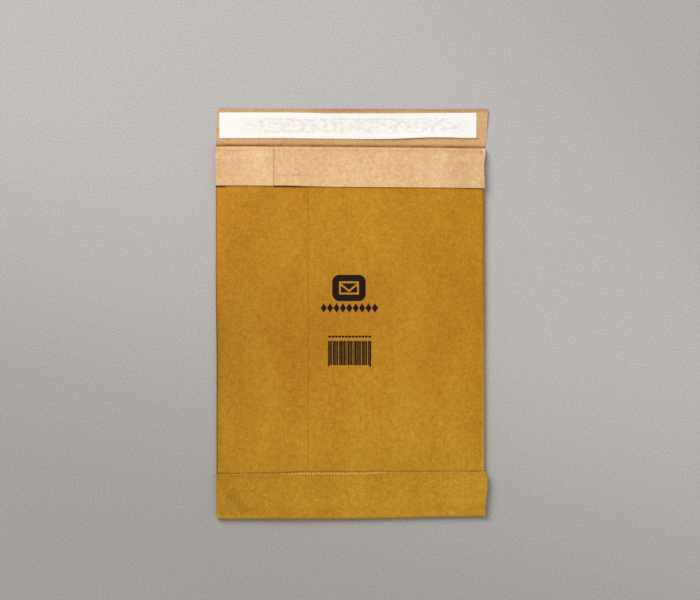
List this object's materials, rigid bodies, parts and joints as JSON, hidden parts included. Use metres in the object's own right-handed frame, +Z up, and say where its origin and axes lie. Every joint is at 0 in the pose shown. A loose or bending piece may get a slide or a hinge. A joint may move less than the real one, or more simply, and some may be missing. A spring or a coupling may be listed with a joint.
{
  "type": "padded envelope",
  "caption": "Empty padded mailing envelope of kraft paper, lapped front seam, turned-up bottom, cuffed mouth and a closing flap whose adhesive is covered by a liner.",
  "frame": {"origin": "on the resting face of the back panel, midway between the body's two sides and midway between the bottom fold and the flap's free edge", "axes": "+X to the right across the front, +Y from the bottom fold to the flap, +Z up out of the front panel"},
  "size_m": [0.2014, 0.3034, 0.0114],
  "materials": {
    "golden_kraft": "golden dyed kraft, machine-glazed, low sheen",
    "natural_kraft": "natural brown kraft, matte",
    "paper_fibre": "loose macerated paper fibre",
    "dried_glue": "thin film of dried glue",
    "seal_adhesive": "tacky pressure-sensitive adhesive",
    "liner_paper": "white coated release paper, slight sheen"
  },
  "bodies": {
    "root": {"outer_ply": "golden_kraft", "inner_ply": "natural_kraft", "fibre_padding": "paper_fibre", "seam_glue": "dried_glue", "bottom_glue": "dried_glue", "cuff_glue": "dried_glue", "seal_adhesive": "seal_adhesive", "release_liner": "liner_paper"}
  },
  "joints": []
}
